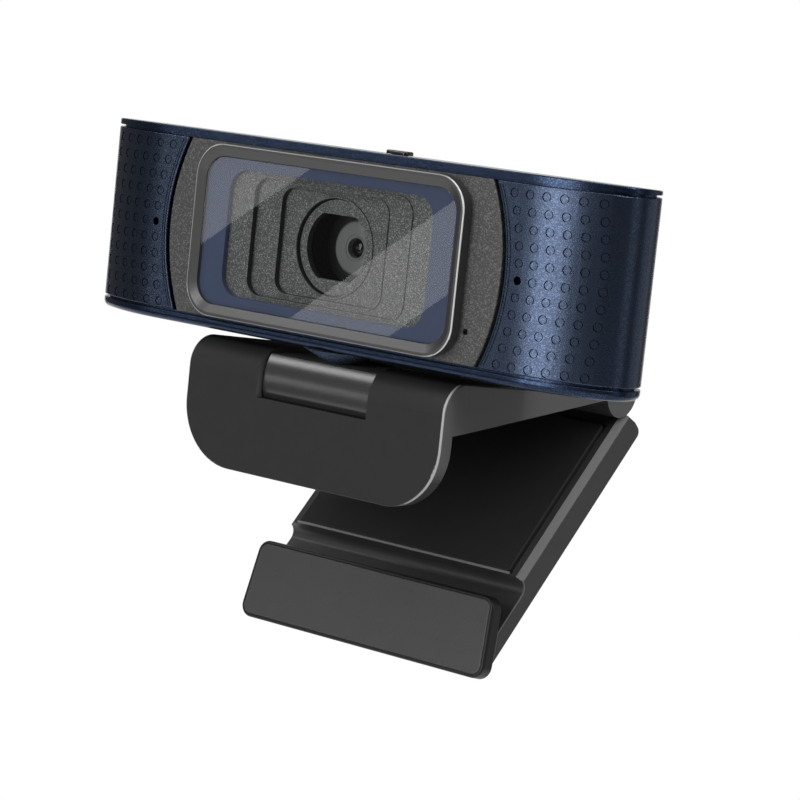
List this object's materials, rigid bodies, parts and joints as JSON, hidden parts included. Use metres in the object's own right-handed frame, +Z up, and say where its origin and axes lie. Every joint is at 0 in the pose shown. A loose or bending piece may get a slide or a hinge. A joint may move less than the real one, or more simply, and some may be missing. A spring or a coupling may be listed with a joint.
{
  "type": "webcam",
  "caption": "Webcam with dotted wings, a raised lens window with a sliding privacy shutter, and a folding clip for a monitor's top edge.",
  "frame": {"origin": "the seat: the place on the underside of the clip's arm, mid-width, that rests on a monitor's top edge", "axes": "+X to the right as the camera is seen from in front, +Y from the lens to the back, +Z up"},
  "size_m": [0.105, 0.055, 0.0795],
  "materials": {
    "navy_shell": "satin metallic paint with fine sparkle",
    "grey_fascia": "satin with fine sparkle",
    "window_gloss": "smoked gloss with bright edges",
    "clear_glass": "clear polished",
    "blue_trim": "satin blue paint behind the glass",
    "plate_grey": "grainy satin with fine sparkle",
    "black_plastic": "matte black",
    "knob_black": "gloss black",
    "lens_metal": "dark anodised",
    "lens_glass": "coated",
    "clip_grey": "fine satin",
    "drum_grey": "satin",
    "pad_black": "smooth satin",
    "foot_satin": "satin with soft reflections",
    "steel": "plain bright steel",
    "board_green": "solder mask",
    "chip_black": "moulded",
    "clear_plastic": "clear",
    "soft_rubber": "matte"
  },
  "bodies": {
    "clip": {"upper_clip": "clip_grey", "grip_pad": "pad_black", "tilt_pins": "steel", "hinge_pin": "steel"},
    "swivel": {"tilt_drum": "drum_grey", "swivel_neck": "navy_shell", "pan_washer": "steel", "pan_screw": "steel"},
    "head": {"top_cap": "navy_shell", "bottom_cap": "navy_shell", "front_shell": "navy_shell", "rear_shell": "navy_shell", "fascia": "grey_fascia", "window_frame": "window_gloss", "cover_glass": "clear_glass", "trim_ring": "blue_trim", "lens_plate": "plate_grey", "lens_ring": "plate_grey", "lens_hood": "black_plastic", "focus_motor": "black_plastic", "image_sensor": "chip_black", "camera_board": "board_green", "board_screws": "steel", "video_chip": "chip_black", "cable_header": "clear_plastic", "microphones": "lens_metal", "mic_gaskets": "soft_rubber", "status_led": "clear_plastic", "light_pipe": "clear_plastic", "housing_screws": "steel", "cable_gland": "soft_rubber"},
    "shutter": {"privacy_shutter": "black_plastic", "privacy_knob": "knob_black"},
    "lens": {"lens_barrel": "lens_metal", "lens_front": "lens_glass"},
    "flap": {"flap": "clip_grey", "flap_pad": "pad_black", "foot_pin": "steel"},
    "foot": {"foot_plate": "black_plastic", "foot_pad": "foot_satin"}
  },
  "joints": [
    {"name": "tilt", "type": "hinge", "parent": "clip", "child": "swivel", "pos_m": [0, -0.0029, 0.00215], "axis": [1, 0, 0], "range_deg": [-4, 8]},
    {"name": "pan", "type": "hinge", "parent": "swivel", "child": "head", "pos_m": [0, -0.0042, 0.00835], "axis": [0, 0, 1], "range_deg": [-30, 30]},
    {"name": "shutter_slide", "type": "slide", "parent": "head", "child": "shutter", "axis": [-1, 0, 0], "range_m": [0, 0.0125]},
    {"name": "focus", "type": "slide", "parent": "head", "child": "lens", "axis": [0, -1, 0], "range_m": [0, 0.0003], "stiffness_N_per_m": 40},
    {"name": "flap_hinge", "type": "hinge", "parent": "clip", "child": "flap", "pos_m": [0, 0.0368, 0.00425], "axis": [1, 0, 0], "range_deg": [-25, 50]},
    {"name": "foot_hinge", "type": "hinge", "parent": "flap", "child": "foot", "pos_m": [0, 0.0116, -0.03368], "axis": [1, 0, 0], "range_deg": [-29, 14]}
  ]
}
